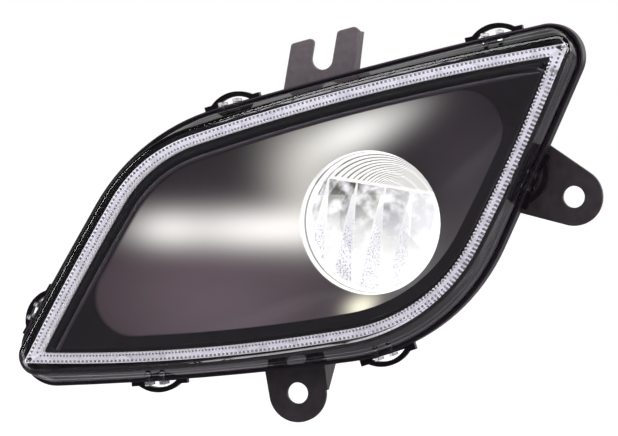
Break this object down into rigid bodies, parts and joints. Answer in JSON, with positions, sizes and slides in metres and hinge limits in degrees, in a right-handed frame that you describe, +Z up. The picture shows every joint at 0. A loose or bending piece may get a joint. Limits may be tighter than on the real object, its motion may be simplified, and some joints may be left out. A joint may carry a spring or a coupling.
{
  "type": "front fog lamp",
  "caption": "Leaf-shaped front fog lamp: clear lens over a black dish with a round LED optic and a ribbed edge light guide, finned heat sink behind, slotted and eared steel brackets.",
  "frame": {"origin": "centre of the lower ear's fixing hole, on the front face of its plate", "axes": "+X to the right along the lamp's length as seen from the front, +Z up, the lamp shines along -Y"},
  "size_m": [0.2748, 0.1182, 0.1847],
  "materials": {
    "black_housing": "glossy moulded",
    "clear_lens": "clear polycarbonate, hard coated",
    "butyl_seal": "matte",
    "satin_bezel": "satin, fine grain",
    "clear_guide": "clear acrylic, ribbed",
    "white_plastic": "white, satin",
    "circuit_board": "solder mask",
    "bright_collar": "metallised",
    "clear_optic": "clear",
    "bright_reflector": "metallised",
    "white_plate": "satin white",
    "led_phosphor": "phosphor",
    "cast_aluminium": "die cast",
    "black_rubber": "matte",
    "black_nylon": "moulded",
    "tinned_brass": "tin plated",
    "black_resin": "moulded",
    "coated_steel": "black electro-coat",
    "zinc_steel": "zinc plated"
  },
  "bodies": {
    "root": {"housing": "black_housing", "outer_lens": "clear_lens", "lens_seal": "butyl_seal", "inner_bezel": "satin_bezel", "upper_light_guide": "clear_guide", "lower_light_guide": "clear_guide", "guide_reflector": "white_plastic", "guide_tip_pins": "black_resin", "guide_led_boards": "circuit_board", "optic_collar": "bright_collar", "optic_lens": "clear_optic", "fog_reflector": "bright_reflector", "ringed_plate": "white_plate", "led_board": "circuit_board", "led_emitters": "led_phosphor", "heat_sink": "cast_aluminium", "heat_sink_gasket": "black_rubber", "connector_socket": "black_nylon", "connector_terminals": "tinned_brass", "driver_board": "circuit_board", "driver_components": "black_resin", "vent_cap": "black_rubber", "lower_ear_bracket": "coated_steel", "right_ear_bracket": "coated_steel", "top_fork_bracket": "coated_steel", "bracket_screws": "zinc_steel", "heat_sink_screws": "zinc_steel", "bezel_screws": "white_plastic"}
  },
  "joints": []
}
